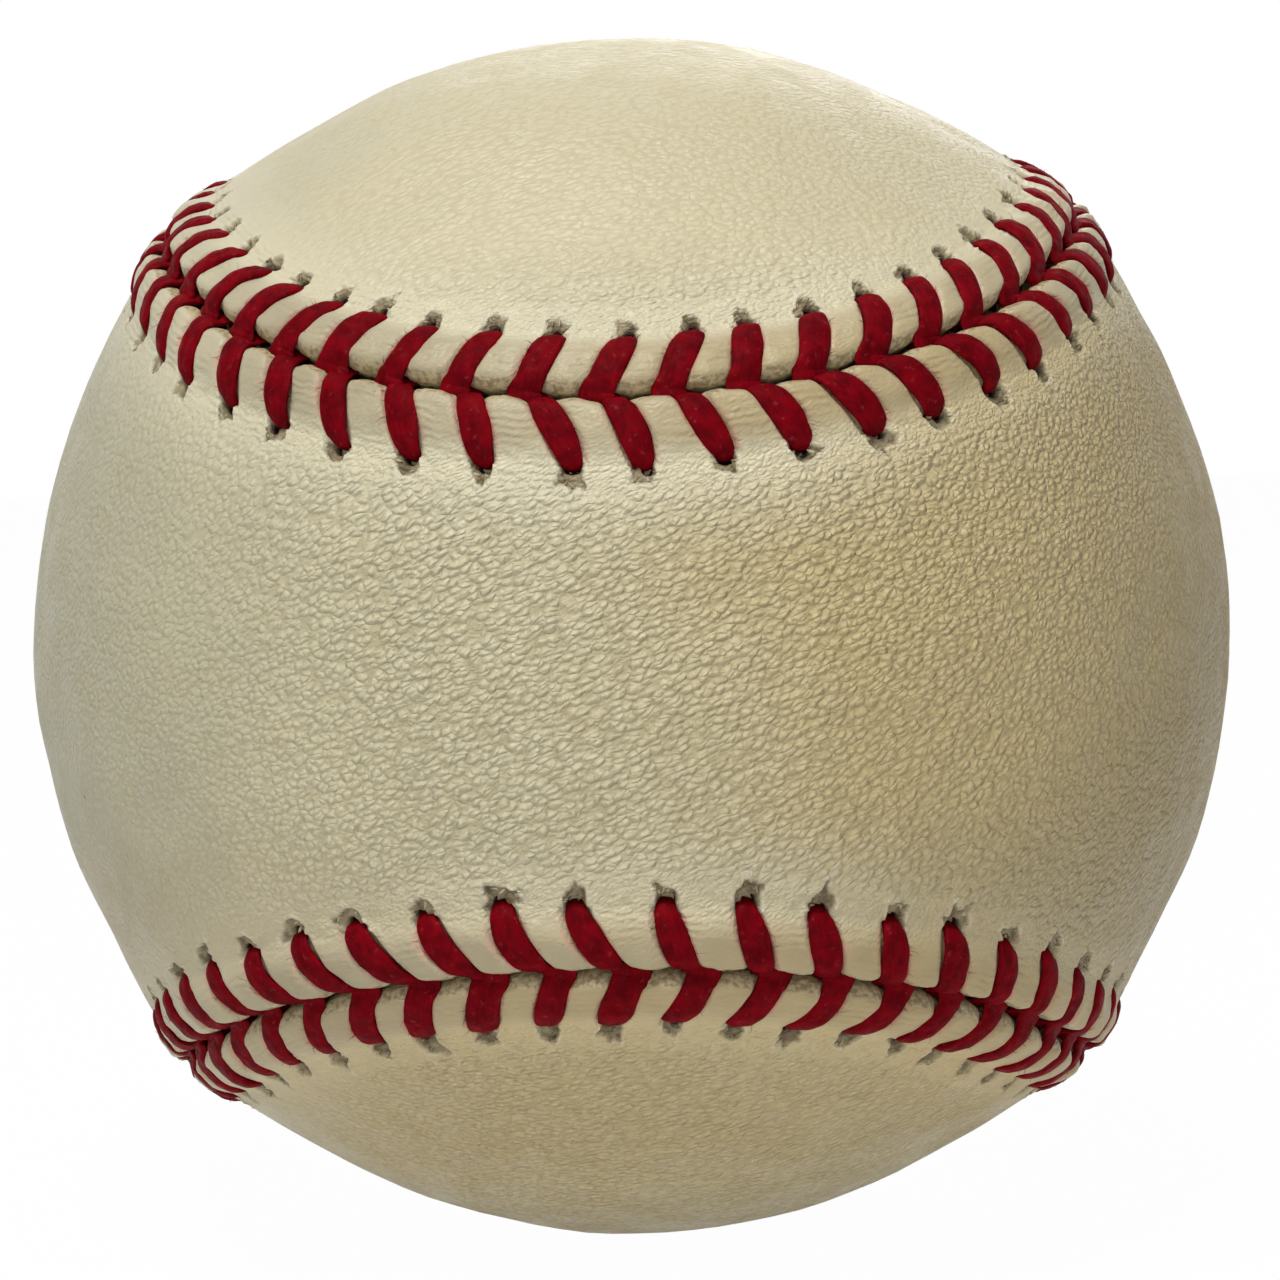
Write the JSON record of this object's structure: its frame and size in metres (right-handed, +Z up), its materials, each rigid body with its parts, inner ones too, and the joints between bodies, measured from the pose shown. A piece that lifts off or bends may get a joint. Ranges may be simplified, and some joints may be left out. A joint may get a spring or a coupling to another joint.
{
  "type": "baseball",
  "caption": "Leather ball of two hourglass panels laced together with red thread over wound yarn and a cork and rubber centre.",
  "frame": {"origin": "centre of the ball", "axes": "-Y out through the front panel's waist, which faces the picture's camera; +X along that panel to the right; +Z up"},
  "size_m": [0.0738, 0.0738, 0.0738],
  "materials": {
    "cork": "rough ground cork",
    "black_rubber": "moulded matt rubber",
    "red_rubber": "moulded matt rubber",
    "grey_wool": "wound wool yarn",
    "white_wool": "wound wool yarn",
    "cotton_yarn": "wound fine cotton yarn",
    "adhesive": "dried latex",
    "cover_leather": "aged pebbled leather with a low sheen",
    "red_thread": "waxed thread"
  },
  "bodies": {
    "root": {"cork_core": "cork", "inner_cup_top": "black_rubber", "inner_cup_bottom": "black_rubber", "cup_gasket": "red_rubber", "pill_jacket": "red_rubber", "inner_grey_winding": "grey_wool", "white_winding": "white_wool", "outer_grey_winding": "grey_wool", "cotton_winding": "cotton_yarn", "adhesive_coat": "adhesive", "cover_panel_front": "cover_leather", "cover_panel_back": "cover_leather", "lacing_thread_first": "red_thread", "lacing_thread_second": "red_thread"}
  },
  "joints": []
}
